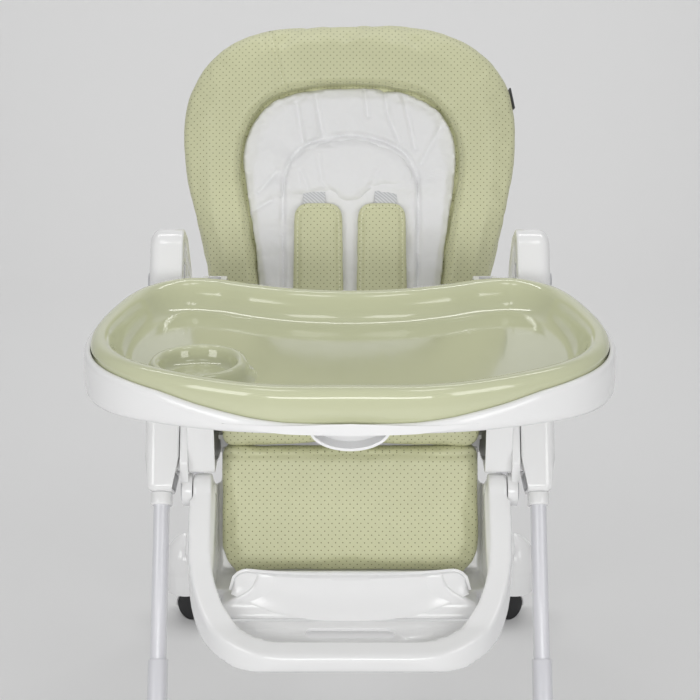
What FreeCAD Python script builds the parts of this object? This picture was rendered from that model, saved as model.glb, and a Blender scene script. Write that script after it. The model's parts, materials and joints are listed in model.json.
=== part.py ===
import FreeCAD, Part
import math
import os

V = FreeCAD.Vector
os.makedirs("parts", exist_ok=True)

# ---- driving sizes, millimetres ----
leg_x = 206.0             # half the spacing of the leg tubes
leg_lean = 31.3           # front legs, degrees from upright
front_floor_y = -404.4    # where the front leg line meets the floor
tube_width = 16.0
tube_depth = 30.0
tube_wall = 1.5
base_tube_grow = 2.0      # lower tube is this much larger on every side
tube_joint_s = 331.0      # along the leg, where upper tube enters the lower one
tube_engage = 45.0
tube_fit = 0.05

housing_bottom_s = 510.0
housing_top_s = 809.0
housing_half_depth = 24.0
housing_inner_x = 186.5
housing_seam_x = 190.0
housing_outer_x = 224.0
housing_wall = 3.0

pivot_back = 68.0         # fold pivot behind the front leg line
pivot_s = 743.6
pin_radius = 5.0
pin_fit = 0.05
hub_radius = 25.0
rear_lean = 32.4
rear_leg_length = 612.0
fold_range = 60

track_x = 241.0           # half the spacing of the casters
foot_y = 370.0
foot_radius = 29.5
foot_rim_z = 44.0
foot_top_z = 133.0
cross_tube_radius = 10.0

wheel_radius = 20.0
wheel_width = 9.5
wheel_web = 7.0
trail = 12.0
stem_radius = 4.0
axle_radius = 2.5

slider_s = 532.0
slider_length = 48.0
height_travel = 190.0
slide_gap = 0.5

seat_inner_x = 148.0
seat_outer_x = 177.0
seat_front_y = -132.0
pan_z = 472.0
pan_thick = 5.0
arm_top_z = 608.0
knuckle_y = -126.0
knuckle_z = 434.0
knuckle_radius = 18.0

back_hinge_y = 160.0
back_hinge_z = 450.0
back_lean = 20.0
back_top = 446.0          # top of the cushion above the hinge, along the back
cushion_depth = 54.0

tray_rim_z = 660.0
tray_floor_z = 631.0
tray_deck_z = 624.0
tray_skin = 3.0
tray_lip = 5.0
tray_edge = 8.0           # width of the rounded rim, measured inwards
lobe_gap = 16.0           # from the tray base to the leg housings behind it


# ---- small helpers ----
def box(x0, x1, y0, y1, z0, z1):
    return Part.makeBox(x1 - x0, y1 - y0, z1 - z0, V(x0, y0, z0))


def rod(radius, start, end):
    line = V(*end) - V(*start)
    return Part.makeCylinder(radius, line.Length, V(*start), line)


def rounded_wire(points, put):
    """Closed outline of lines and corner arcs; points are (a, b, radius)."""
    count = len(points)
    corners = []
    for i in range(count):
        ax, ay, radius = points[i]
        bx, by = points[i - 1][0], points[i - 1][1]
        cx, cy = points[(i + 1) % count][0], points[(i + 1) % count][1]
        back_len = math.hypot(bx - ax, by - ay)
        next_len = math.hypot(cx - ax, cy - ay)
        ux, uy = (bx - ax) / back_len, (by - ay) / back_len
        wx, wy = (cx - ax) / next_len, (cy - ay) / next_len
        half = math.acos(max(-1.0, min(1.0, ux * wx + uy * wy))) / 2.0
        if radius <= 0 or half > math.radians(89.5):
            corners.append(((ax, ay), None, (ax, ay)))
            continue
        reach = radius / math.tan(half)
        mx, my = ux + wx, uy + wy
        length = math.hypot(mx, my)
        centre = radius / math.sin(half)
        nearest = centre - radius
        corners.append(((ax + ux * reach, ay + uy * reach),
                        (ax + mx / length * nearest, ay + my / length * nearest),
                        (ax + wx * reach, ay + wy * reach)))
    edges = []
    for i in range(count):
        start, middle, end = corners[i]
        if middle:
            edges.append(Part.Arc(put(*start), put(*middle), put(*end)).toShape())
        following = corners[(i + 1) % count][0]
        if math.hypot(following[0] - end[0], following[1] - end[1]) > 0.001:
            edges.append(Part.makeLine(put(*end), put(*following)))
    return Part.Wire(edges)


def plate_x(points, x0, x1):
    """Outline in the side view, given as (y, z, radius), thick along x."""
    wire = rounded_wire(points, lambda a, b: V(x0, a, b))
    return Part.Face(wire).extrude(V(x1 - x0, 0, 0))


def plate_y(points, y0, y1):
    wire = rounded_wire(points, lambda a, b: V(a, y0, b))
    return Part.Face(wire).extrude(V(0, y1 - y0, 0))


def plate_z(points, z0, z1):
    wire = rounded_wire(points, lambda a, b: V(a, b, z0))
    return Part.Face(wire).extrude(V(0, 0, z1 - z0))


def oval(width, depth, x, z0, z1):
    """Upright flat-sided oval bar centred on x, long way front to back."""
    w, d, r = width / 2.0, depth / 2.0, width / 2.0
    return plate_z([(x - w, -d, r), (x + w, -d, r), (x + w, d, r), (x - w, d, r)], z0, z1)


def leaned(shape, angle, y, z):
    """Tip an upright shape backwards about the x axis, then set it at y, z."""
    moved = shape.copy()
    moved.rotate(V(0, 0, 0), V(1, 0, 0), -angle)
    moved.translate(V(0, y, z))
    return moved


def on_leg(shape):
    return leaned(shape, leg_lean, front_floor_y, 0)


def on_back(shape):
    return leaned(shape, back_lean, back_hinge_y, back_hinge_z)


def leg_point(back, along):
    lean = math.radians(leg_lean)
    return (front_floor_y + along * math.sin(lean) + back * math.cos(lean),
            along * math.cos(lean) - back * math.sin(lean))


pivot_y, pivot_z = leg_point(pivot_back, pivot_s)


def on_rear(shape):
    """Local z runs up along the rear leg, zero at the fold pivot."""
    return leaned(shape, -rear_lean, pivot_y, pivot_z)


def mirrored(shape):
    return shape.mirror(V(0, 0, 0), V(1, 0, 0))


def both(shape):
    return Part.makeCompound([shape, mirrored(shape)])


def face_edges(shape, axis, value):
    """Edges lying wholly on the plane where one coordinate equals the value."""
    found = []
    for edge in shape.Edges:
        limits = edge.BoundBox
        low = getattr(limits, axis + "Min")
        high = getattr(limits, axis + "Max")
        if abs(low - value) < 0.01 and abs(high - value) < 0.01:
            found.append(edge)
    return found


def softened(shape, radius, axis, value):
    return shape.makeFillet(radius, face_edges(shape, axis, value))


def save(name, shape):
    shape.exportStep("parts/" + name + ".step")


def save_pair(name, shape):
    save(name + "_right", shape)
    save(name + "_left", mirrored(shape))


# ---- front frame ----
def hollow_oval(width, depth, x, z0, z1, wall):
    inner = oval(width - 2 * wall, depth - 2 * wall, x, z0 - 1, z1 + 1)
    return oval(width, depth, x, z0, z1).cut(inner)


leg_top_s = housing_top_s - 14
leg_tube = on_leg(hollow_oval(tube_width, tube_depth, leg_x, tube_joint_s - tube_engage,
                              leg_top_s, tube_wall))
save_pair("leg_tube", leg_tube)

base_width = tube_width + 2 * base_tube_grow
base_depth = tube_depth + 2 * base_tube_grow
base_bottom_s = 62.0
base_wall = base_tube_grow - tube_fit
lower_tube = hollow_oval(base_width, base_depth, leg_x, base_bottom_s, tube_joint_s, base_wall)
cross_s = 112.0
cross_y, cross_z = leg_point(0, cross_s)
cross_reach = leg_x - base_width / 2.0 + 0.5
cross = rod(cross_tube_radius, (-cross_reach, cross_y, cross_z), (cross_reach, cross_y, cross_z))
bore = rod(cross_tube_radius - tube_wall, (-cross_reach - 1, cross_y, cross_z),
           (cross_reach + 1, cross_y, cross_z))
cross = cross.cut(bore)
lower = on_leg(lower_tube)
save("front_base_tube", lower.fuse(mirrored(lower)).fuse(cross).removeSplitter())

collar = oval(tube_width + 6.5, tube_depth + 6.5, leg_x, housing_bottom_s - 14, housing_bottom_s)
collar = softened(collar, 2.0, "Z", housing_bottom_s - 14)
collar = collar.cut(oval(tube_width, tube_depth, leg_x, 0, 900))
save("leg_collars", both(on_leg(collar)))

# housing outline in the leg's own side view
half = housing_half_depth
housing_outline = [(-half + 3, housing_bottom_s, 8), (-half, 560, 60), (-half, housing_top_s, 26),
                   (32, housing_top_s, 34), (pivot_back + 31, pivot_s + 31, 31),
                   (pivot_back + 31, pivot_s - 30, 28), (half, 668, 30), (half, 560, 60),
                   (half - 3, housing_bottom_s, 8)]


def inset(points, wall, x0, x1):
    wire = rounded_wire(points, lambda a, b: V(x0, a, b))
    small = wire.makeOffset2D(-wall)
    return Part.Face(small).extrude(V(x1 - x0, 0, 0))


outer = plate_x(housing_outline, housing_seam_x, housing_outer_x)
outer = softened(outer, 13.0, "X", housing_outer_x)
cavity = inset(housing_outline, housing_wall, housing_seam_x, housing_outer_x - housing_wall)
cavity = softened(cavity, 7.5, "X", housing_outer_x - housing_wall)
outer = outer.cut(cavity)
inner = plate_x(housing_outline, housing_inner_x, housing_seam_x)
inner = softened(inner, 2.8, "X", housing_inner_x)

tube_hole = oval(tube_width + 0.1, tube_depth + 0.1, leg_x, housing_bottom_s - 1, housing_bottom_s + 12)
neck_half = 7.0
slot_half = neck_half + 1.0
slot_low = slider_s + 1.0
slot_high = slider_s + slider_length + height_travel
slot = plate_x([(-slot_half, slot_low, 1), (slot_half, slot_low, 1), (slot_half, slot_high, 1),
                (-slot_half, slot_high, 1)],
               housing_inner_x - 1, housing_seam_x + 1)
inner = inner.cut(slot)
outer = outer.cut(tube_hole)

boss = rod(9.0, (housing_outer_x - 9, pivot_back, pivot_s), (housing_outer_x - 2, pivot_back, pivot_s))
outer = outer.fuse(boss)
pin_hole = rod(pin_radius, (housing_inner_x - 1, pivot_back, pivot_s),
               (housing_outer_x - 3, pivot_back, pivot_s))
outer = outer.cut(pin_hole)
inner = inner.cut(pin_hole)

fold_button_s = 749.0
fold_button_radius = 9.0
button_hole = rod(fold_button_radius + 0.4, (housing_outer_x - 10, -1, fold_button_s),
                  (housing_outer_x + 5, -1, fold_button_s))
outer = outer.cut(button_hole)

# oblique lower end, seen from the front
taper_in = plate_y([(housing_inner_x - 5, housing_bottom_s - 5, 0), (195, housing_bottom_s - 5, 0),
                    (194, housing_bottom_s, 0), (housing_inner_x, 548, 0),
                    (housing_inner_x - 5, 548, 0)], -60, 60)
taper_out = plate_y([(housing_outer_x + 5, housing_bottom_s - 5, 0), (218, housing_bottom_s - 5, 0),
                     (218.5, housing_bottom_s, 0), (housing_outer_x, 550, 0),
                     (housing_outer_x + 5, 550, 0)], -60, 60)
outer = outer.cut(taper_in).cut(taper_out)
inner = inner.cut(taper_in)

# room for the rear leg from open to folded
outer = on_leg(outer)
inner = on_leg(inner)
for step in range(0, fold_range + 1, 10):
    sweep = box(leg_x - tube_width / 2 - 2.5, leg_x + tube_width / 2 + 2.5, -17.5, 17.5, -140, 0)
    sweep = leaned(sweep, step - rear_lean, pivot_y, pivot_z)
    outer = outer.cut(sweep)
save_pair("housing_outer", outer)

screw_spots = [(-15, 600), (12, 790), (15, 570)]
screws = []
posts = []
for back, along in screw_spots:
    screws.append(rod(2.0, (housing_inner_x + 0.6, back, along), (housing_seam_x + 2.5, back, along)))
    posts.append(rod(2.0, (housing_inner_x - 1, back, along), (housing_seam_x + 4, back, along)))
for post in posts:
    inner = inner.cut(on_leg(post))
save_pair("housing_inner", inner)
screw_set = Part.makeCompound([on_leg(screw) for screw in screws])
save("housing_screws", both(screw_set))

fold_pin = rod(pin_radius, (housing_inner_x, pivot_back, pivot_s),
               (housing_outer_x - 3, pivot_back, pivot_s))
save("fold_pins", both(on_leg(fold_pin)))

fold_button = rod(fold_button_radius, (220.7, -1, fold_button_s), (226.2, -1, fold_button_s))
fold_button = softened(fold_button, 1.2, "X", 226.2)
flange = rod(fold_button_radius + 2.5, (219.3, -1, fold_button_s), (220.7, -1, fold_button_s))
fold_button = on_leg(fold_button.fuse(flange))
save_pair("fold_button", fold_button)


def bullet_foot():
    """Upright bullet at the origin, from the rim to the rounded top."""
    shoulder = foot_rim_z + 30
    rise = foot_top_z - shoulder
    low = V(0, 0, foot_rim_z)
    side = V(foot_radius, 0, foot_rim_z)
    start = V(foot_radius, 0, shoulder)
    middle = V(foot_radius * math.cos(math.radians(48)), 0, shoulder + rise * math.sin(math.radians(48)))
    top = V(0, 0, foot_top_z)
    edges = [Part.makeLine(low, side), Part.makeLine(side, start),
             Part.Arc(start, middle, top).toShape(), Part.makeLine(top, low)]
    body = Part.Face(Part.Wire(edges)).revolve(V(0, 0, 0), V(0, 0, 1), 360)
    return body.cut(rod(stem_radius + pin_fit, (0, 0, foot_rim_z - 1), (0, 0, 84)))


floor_cut = box(100, 400, -500, 500, -50, foot_rim_z)
front_block = plate_z([(leg_x - 14.5, -21.5, 10), (track_x - 4, -21.5, 6), (track_x - 4, 21.5, 6),
                       (leg_x - 14.5, 21.5, 10)], 30, 140)
front_block = softened(front_block, 5.0, "Z", 140)
front_block = on_leg(front_block).cut(floor_cut)
front_bullet = bullet_foot()
front_bullet.translate(V(track_x, -foot_y, 0))
front_foot = front_bullet.fuse(front_block)
front_stem_hole = rod(stem_radius + pin_fit, (track_x, -foot_y, 0), (track_x, -foot_y, 84))
front_foot = front_foot.cut(front_stem_hole)
front_foot = front_foot.cut(on_leg(oval(base_width, base_depth, leg_x, base_bottom_s, 400)))
front_foot = front_foot.cut(rod(cross_tube_radius, (150, cross_y, cross_z), (leg_x, cross_y, cross_z)))
save_pair("front_foot", front_foot.removeSplitter())

# ---- rear frame ----
tube_start = 27.0
rear_tube = hollow_oval(tube_width, tube_depth, leg_x, -rear_leg_length, -tube_start, tube_wall)
save_pair("rear_leg", on_rear(rear_tube))

hub = rod(hub_radius, (leg_x - 8.5, 0, 0), (leg_x + 8.5, 0, 0))
plug = oval(tube_width - 2 * tube_wall, tube_depth - 2 * tube_wall, leg_x, -75, -15)
hub = hub.fuse(plug).cut(rod(pin_radius + pin_fit, (150, 0, 0), (260, 0, 0)))
save_pair("rear_hub", on_rear(hub))

rear_cross_r = 572.0
rear_cross_y = pivot_y + rear_cross_r * math.sin(math.radians(rear_lean))
rear_cross_z = pivot_z - rear_cross_r * math.cos(math.radians(rear_lean))
reach = leg_x - tube_width / 2.0
rear_cross = rod(cross_tube_radius, (-reach, rear_cross_y, rear_cross_z),
                 (reach, rear_cross_y, rear_cross_z))
rear_cross = rear_cross.cut(rod(cross_tube_radius - tube_wall, (-reach, rear_cross_y, rear_cross_z),
                                (reach, rear_cross_y, rear_cross_z)))
save("rear_cross_tube", rear_cross)

rear_block = plate_z([(leg_x - 12.5, -19.5, 10), (track_x - 4, -19.5, 6), (track_x - 4, 19.5, 6),
                      (leg_x - 12.5, 19.5, 10)], -640, -rear_leg_length + 62)
rear_block = softened(rear_block, 5.0, "Z", -rear_leg_length + 62)
rear_block = rear_block.cut(rod(cross_tube_radius + 1, (150, 0, -rear_cross_r), (leg_x, 0, -rear_cross_r)))
rear_block = on_rear(rear_block).cut(floor_cut)
rear_bullet = bullet_foot()
rear_bullet.translate(V(track_x, foot_y, 0))
rear_foot = rear_bullet.fuse(rear_block)
rear_foot = rear_foot.cut(rod(stem_radius + pin_fit, (track_x, foot_y, 0), (track_x, foot_y, 84)))
rear_foot = rear_foot.cut(on_rear(oval(tube_width, tube_depth, leg_x, -rear_leg_length, 0)))
save_pair("rear_foot", rear_foot.removeSplitter())


# ---- casters ----
def caster_hood():
    """Twin-wheel hood at the origin, stem upright, wheels trailing towards +y."""
    centre_z = wheel_radius
    shell_radius = wheel_radius + 3.0
    half_width = wheel_web / 2.0 + wheel_width + 1.5
    web = rod(wheel_radius - 1.5, (-wheel_web / 2, trail, centre_z), (wheel_web / 2, trail, centre_z))
    rim = rod(shell_radius, (-half_width, trail, centre_z), (half_width, trail, centre_z))
    rim = rim.cut(rod(wheel_radius + 1.0, (-half_width - 1, trail, centre_z),
                      (half_width + 1, trail, centre_z)))
    rim = rim.cut(box(-50, 50, -60, 60, -30, centre_z - 4))
    link = rod(wheel_radius + 1.5, (-wheel_web / 2, trail, centre_z), (wheel_web / 2, trail, centre_z))
    link = link.cut(box(-50, 50, -60, 60, -30, centre_z))
    neck = rod(9.0, (0, 0, centre_z + 8), (0, 0, foot_rim_z - 1.0))
    neck = neck.cut(rod(wheel_radius + 1.0, (-30, trail, centre_z), (30, trail, centre_z)))
    stem = rod(stem_radius, (0, 0, foot_rim_z - 2.0), (0, 0, 80))
    body = rim.fuse(web).fuse(link).fuse(neck).fuse(stem).removeSplitter()
    return body.cut(rod(axle_radius + pin_fit, (-30, trail, centre_z), (30, trail, centre_z)))


def caster_wheels():
    centre_z = wheel_radius
    inside = wheel_web / 2.0 + 0.5
    outside = inside + wheel_width
    wheels = rod(axle_radius, (-outside, trail, centre_z), (outside, trail, centre_z))
    for side in (-1, 1):
        disc = rod(wheel_radius, (side * inside, trail, centre_z), (side * outside, trail, centre_z))
        disc = softened(disc, 1.5, "X", side * outside)
        wheels = wheels.fuse(disc)
    return wheels.removeSplitter()


spots = {"front_right": (track_x, -foot_y), "front_left": (-track_x, -foot_y),
         "rear_right": (track_x, foot_y), "rear_left": (-track_x, foot_y)}
rear_turn = 127.0         # rear casters rest with their wheels turned inwards
for spot in spots:
    across, along = spots[spot]
    turn = rear_turn * math.copysign(1, across) if spot.startswith("rear") else 0.0
    hood = caster_hood()
    wheels = caster_wheels()
    if spot.startswith("rear"):
        lever_y = trail + 23
        lever_z = wheel_radius + 15
        ear = rod(5.0, (-5, lever_y, lever_z), (5, lever_y, lever_z))
        ear = ear.cut(rod(wheel_radius + 1.0, (-30, trail, wheel_radius), (30, trail, wheel_radius)))
        hood = hood.fuse(ear)
        hood = hood.cut(rod(1.5 + pin_fit, (-8, lever_y, lever_z), (8, lever_y, lever_z)))
        pedal = box(-9, 9, lever_y - 1, lever_y + 11, lever_z + 5, lever_z + 8)
        for side in (-1, 1):
            lug = rod(3.5, (side * 5.5, lever_y, lever_z), (side * 9, lever_y, lever_z))
            arm = box(min(side * 5.5, side * 9), max(side * 5.5, side * 9), lever_y - 3, lever_y + 3,
                      lever_z, lever_z + 6)
            pedal = pedal.fuse(lug).fuse(arm)
        pedal = pedal.fuse(rod(1.5, (-9, lever_y, lever_z), (9, lever_y, lever_z)))
        pedal = pedal.removeSplitter()
        pedal.rotate(V(0, 0, 0), V(0, 0, 1), turn)
        pedal.translate(V(across, along, 0))
        save("brake_lever_" + spot.split("_")[1], pedal)
    for piece in (hood, wheels):
        piece.rotate(V(0, 0, 0), V(0, 0, 1), turn)
        piece.translate(V(across, along, 0))
    save("caster_hood_" + spot, hood)
    save("caster_wheels_" + spot, wheels)

# ---- seat ----
side_outline = [(seat_front_y, 455, 6), (seat_front_y, arm_top_z, 14), (128, arm_top_z, 20),
                (106, 508, 20), (106, 446, 12), (-70, 446, 20), (-100, 455, 20)]
side = plate_x(side_outline, seat_inner_x, seat_outer_x)
pocket = inset(side_outline, 3.0, seat_inner_x - 1, seat_outer_x - 3.0)
pocket = pocket.cut(box(100, 200, -200, 200, 583, 700))
side = side.cut(pocket)
side = side.cut(box(155, 170, -140, 106, 586.5, 620))
save_pair("seat_side", side)

floor = box(-seat_inner_x, seat_inner_x, -74, 118, pan_z, pan_z + pan_thick)
trough = box(-seat_inner_x, seat_inner_x, -52, 118, 446, pan_z)
trough = trough.cut(box(-seat_inner_x + 4, seat_inner_x - 4, -48, 114, 440, pan_z))
pan = floor.fuse(trough)
ear = plate_x([(100, 440, 8), (100, 476, 6), (118, 476, 6), (back_hinge_y + 10, 463, 11),
               (back_hinge_y + 12, 436, 11), (130, 436, 8)], 135, seat_inner_x)
ear = ear.cut(rod(5.0, (120, back_hinge_y, back_hinge_z), (160, back_hinge_y, back_hinge_z)))
pan = pan.fuse(ear).fuse(mirrored(ear)).removeSplitter()
save("seat_pan", pan)

slider_end = slider_s + slider_length
ring = oval(tube_width + 2 * slide_gap + 6, tube_depth + 2 * slide_gap + 6, leg_x, slider_s, slider_end)
ring = ring.cut(box(leg_x + tube_width / 2 + slide_gap + 2.4, 300, -50, 50, 400, 700))
neck = box(seat_outer_x + 2, leg_x - tube_width / 2 - slide_gap - 1, -neck_half, neck_half,
           slider_s + 2, slider_end - 2)
bracket = plate_x([(-19, 540, 8), (-19, 612, 14), (19, 612, 14), (19, 520, 8), (-4, 520, 8)],
                  seat_outer_x, 185.5)
slider = ring.fuse(neck).fuse(bracket)
slider = slider.cut(oval(tube_width + 2 * slide_gap, tube_depth + 2 * slide_gap, leg_x, 400, 700))
pocket = box(179.5, 184.0, 4, 25, 588, 606)
slider = on_leg(slider.cut(pocket))
ear_in = 173.0
ear_out = 184.0
ear = rod(knuckle_radius, (ear_in, knuckle_y, knuckle_z), (ear_out, knuckle_y, knuckle_z))
strut = plate_x([(-136, 440, 4), (-132, 470, 4), (-104, 470, 4), (-112, 440, 4)], seat_outer_x, ear_out)
slider = slider.fuse(ear).fuse(strut)
button_pocket = rod(13.5, (178.0, knuckle_y, knuckle_z), (190, knuckle_y, knuckle_z))
slider = slider.cut(button_pocket)
slider = slider.cut(rod(4.0, (ear_in - 1, knuckle_y, knuckle_z), (178, knuckle_y, knuckle_z)))
save_pair("height_slider", slider.removeSplitter())

trigger = box(180, 183.5, 9, 24, 591, 603)
save_pair("height_trigger", on_leg(trigger))

legrest_button = rod(13.0, (180.5, knuckle_y, knuckle_z), (185.6, knuckle_y, knuckle_z))
legrest_button = softened(legrest_button, 1.2, "X", 185.6)
save_pair("legrest_button", legrest_button)

legrest_pin = rod(4.0, (151.0, knuckle_y, knuckle_z), (177.5, knuckle_y, knuckle_z))
back_pin = rod(5.0, (119, back_hinge_y, back_hinge_z), (147, back_hinge_y, back_hinge_z))
save("legrest_pins", both(legrest_pin))
save("back_pins", both(back_pin))

cushion_z = pan_z + pan_thick
cushion_x = seat_inner_x - 2
cushion_outline = [(-cushion_x, cushion_z, 8), (cushion_x, cushion_z, 8), (cushion_x, 588, 9),
                   (cushion_x - 20, 588, 9), (cushion_x - 22, cushion_z + 22, 5),
                   (-cushion_x + 22, cushion_z + 22, 5), (-cushion_x + 20, 588, 9), (-cushion_x, 588, 9)]
cushion = plate_y(cushion_outline, -108, 96)
front_trim = plate_x([(-130, 520, 0), (-70, 600, 0), (-130, 600, 0)], -160, 160)
save("seat_cushion", cushion.cut(front_trim))

liner_z = cushion_z + 22.6
seat_liner = plate_z([(-118, -110, 40), (-34, -112, 30), (8, -88, 14), (50, -112, 30), (121, -110, 40),
                      (116, 90, 30), (-116, 90, 30)], liner_z, liner_z + 14)
save("seat_liner", seat_liner)

web_z = liner_z + 14.4
crotch = box(-13, 13, -84, -38, web_z, web_z + 2)
lap = box(26, 112, -13, 13, web_z + 4, web_z + 6)
save("lap_straps", Part.makeCompound([crotch, lap, mirrored(lap)]))
buckle = plate_z([(-25, -36, 8), (25, -36, 8), (25, 26, 12), (-25, 26, 12)], web_z, web_z + 15)
buckle = softened(buckle, 4.0, "Z", web_z + 15)
buckle = buckle.cut(rod(11.5, (0, -4, web_z + 6), (0, -4, web_z + 20)))
save("buckle", buckle)
buckle_button = rod(11.0, (0, -4, web_z + 9), (0, -4, web_z + 16))
save("buckle_button", softened(buckle_button, 1.5, "Z", web_z + 16))


# ---- backrest ----
def spline_plate(points, y0, y1):
    """Mirror-symmetric closed smooth outline in the back's own front view."""
    right = [V(a, y0, b) for a, b in points]
    left = [V(-a, y0, b) for a, b in reversed(points)]
    curve = Part.BSplineCurve()
    curve.interpolate(right + left)
    base = Part.makeLine(left[-1], right[0])
    face = Part.Face(Part.Wire([curve.toShape(), base]))
    return face.extrude(V(0, y1 - y0, 0))


shell_line = [(128, 28), (146, 70), (158, 140), (176, 220), (182, 290), (168, 364), (124, 412),
              (60, back_top - 20)]
shell = spline_plate(shell_line, 0, 26)
shell = softened(shell, 7.0, "Y", 26)
hollow_line = [(121, 34), (139, 74), (151, 140), (169, 220), (175, 288), (161, 359), (119, 404),
               (57, back_top - 27)]
shell = shell.cut(spline_plate(hollow_line, -1, 21))
lug = plate_x([(-12, -12, 11), (12, -12, 11), (18, 50, 6), (-2, 50, 4)], 119, 134)
lug = lug.cut(box(100, 150, -30, 0.6, 25, 60))
shell = shell.fuse(lug).fuse(mirrored(lug))
shell = shell.cut(rod(5.0 + pin_fit, (-160, 0, 0), (160, 0, 0)))
for low in (120, 296):
    for side_x in (-60, 60):
        guide = box(side_x - 9, side_x + 9, 24, 42, low, low + 12)
        guide = guide.cut(rod(4.5, (side_x, 33, low - 5), (side_x, 33, low + 20)))
        shell = shell.fuse(guide)
save("backrest_shell", on_back(shell.removeSplitter()))

handle = plate_y([(-72, 338, 10), (72, 338, 10), (72, 362, 12), (-72, 362, 12)], 27.5, 39)
for side_x in (-60, 60):
    handle = handle.fuse(rod(4.0, (side_x, 33, 96), (side_x, 33, 345)))
save("recline_handle", on_back(handle.removeSplitter()))

front = -cushion_depth
bolster_line = [(152, 40), (166, 90), (181, 150), (200, 230), (208, 300), (195, 372), (148, 424),
                (70, back_top)]
bolster = spline_plate(bolster_line, front - 8, -1)
bolster = softened(bolster, 20.0, "Y", front - 8)
well_line = [(112, 60), (118, 120), (128, 200), (136, 258), (131, 308), (102, 349), (50, 367)]
well = spline_plate(well_line, front - 30, front + 20)
bolster = bolster.cut(well)
save("back_cushion", on_back(bolster))
liner_line = [(109, 64), (115, 121), (125, 200), (132, 258), (128, 306), (100, 346), (49, 363)]
back_liner = spline_plate(liner_line, front + 1, front + 19.5)
save("back_liner", on_back(back_liner))

strap_front = front + 0.4
strap_x = 39.0
pad_top = 222
pad = plate_y([(strap_x - 31, 84, 8), (strap_x + 31, 84, 8), (strap_x + 29, pad_top, 16),
               (strap_x - 29, pad_top, 16)], strap_front - 17, strap_front)
pad = softened(pad, 5.0, "Y", strap_front - 17)
save_pair("shoulder_pad", on_back(pad))
upper_strap = box(strap_x - 14, strap_x + 14, strap_front - 9, strap_front - 7, pad_top + 0.2, 240)
lower_strap = box(strap_x - 14, strap_x + 14, strap_front - 9, strap_front - 7, 64, 83.8)
save("shoulder_straps", both(on_back(Part.makeCompound([upper_strap, lower_strap]))))

# ---- legrest and footrest ----
plan_outer = [(-176, -60, 0), (-176, -276, 104), (176, -276, 104), (176, -60, 0)]
plan_inner = [(-151, -50, 0), (-151, -257, 82), (151, -257, 82), (151, -50, 0)]
rim_band = [(-112, 424, 6), (-118, 440, 6), (-136, 446, 8), (-190, 384, 40), (-240, 330, 30),
            (-277, 310, 8), (-273, 285, 9), (-228, 302, 30), (-168, 348, 40)]
rim = plate_x(rim_band, -176, 176)
ring = plate_z(plan_outer, 250, 480).cut(plate_z(plan_inner, 240, 490))
rim = rim.common(ring)
near_ear = rod(knuckle_radius + 3, (172.3, knuckle_y, knuckle_z), (200, knuckle_y, knuckle_z))
near_ear = near_ear.fuse(mirrored(near_ear))
rim = rim.cut(near_ear)
hub = rod(knuckle_radius, (151, knuckle_y, knuckle_z), (172.3, knuckle_y, knuckle_z))
frame = rim.fuse(hub).fuse(mirrored(hub))
board = plate_x([(-81, 467, 2), (-131, 334, 2), (-126.5, 332, 2), (-76.5, 465, 2)], -145, 145)
wide_board = plate_x([(-96, 426, 1), (-131, 334, 1), (-126.5, 332, 1), (-91.5, 424, 1)], -152, 152)
web = plate_x([(-94, 428, 2), (-131, 332, 2), (-196, 336, 8), (-200, 366, 8), (-128, 440, 8)], 147.5, 152)
frame = frame.fuse(board).fuse(wide_board).fuse(web).fuse(mirrored(web))
riser = plate_x([(-126, 334, 1), (-131, 330, 1), (-198, 312, 8), (-208, 318, 3), (-200, 330, 12),
                 (-196, 368, 5), (-186, 368, 5), (-188, 334, 16)], -151.5, 151.5)
lip_side = plate_y([(-170, 300, 0), (-170, 400, 0), (-104, 400, 0), (-98, 352, 30), (-140, 330, 10),
                    (-151.5, 300, 0)], -215, -172)
riser = riser.cut(lip_side).cut(mirrored(lip_side))
frame = frame.fuse(riser)
frame = frame.cut(rod(4.0 + pin_fit, (-200, knuckle_y, knuckle_z), (200, knuckle_y, knuckle_z)))
save("legrest_frame", frame.removeSplitter())

slope = plate_x([(-207, 316, 0), (-272, 301, 0), (-272, 297, 0), (-207, 312, 0)], -151, 151)
plan_fit = [(-134.0, -208.5, 0), (-134.0, -256.8, 48), (134.0, -256.8, 48), (134.0, -208.5, 0)]
foot_plate = slope.common(plate_z(plan_fit, 250, 400))
stadium = plate_z([(-48, -234, 7.5), (48, -234, 7.5), (48, -219, 7.5), (-48, -219, 7.5)], 250, 400)
save("foot_plate", foot_plate.cut(stadium).cut(frame))

pad_line = [(-145.5, 332, 40), (145.5, 332, 40), (145.5, 475, 12), (-145.5, 475, 12)]
calf_slab = plate_x([(-97.2, 480, 0), (-149.5, 341, 0), (-131.8, 334, 0), (-79.5, 473, 0)], -146, 146)
calf_pad = calf_slab.common(plate_y(pad_line, -200, 0))
save("calf_pad", calf_pad)

# ---- tray ----
tray_half = [(0, -401), (92, -396), (190, -352), (239, -303), (256, -240), (248, -165), (226, -97),
             (184, -61), (140, -65), (95, -85), (50, -99), (0, -104)]
tray_loop = tray_half + [(-a, b) for a, b in reversed(tray_half[1:-1])]


def grown(points, distance):
    moved = []
    for i in range(len(points)):
        ax, ay = points[i - 1]
        bx, by = points[(i + 1) % len(points)]
        length = math.hypot(bx - ax, by - ay)
        moved.append((points[i][0] + distance * (by - ay) / length,
                      points[i][1] - distance * (bx - ax) / length))
    return moved


def smooth_loop(points, z):
    curve = Part.BSplineCurve()
    curve.interpolate([V(a, b, z) for a, b in points], PeriodicFlag=True)
    return Part.Wire([curve.toShape()])


def prism(points, z0, z1):
    return Part.Face(smooth_loop(points, z0)).extrude(V(0, 0, z1 - z0))


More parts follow.
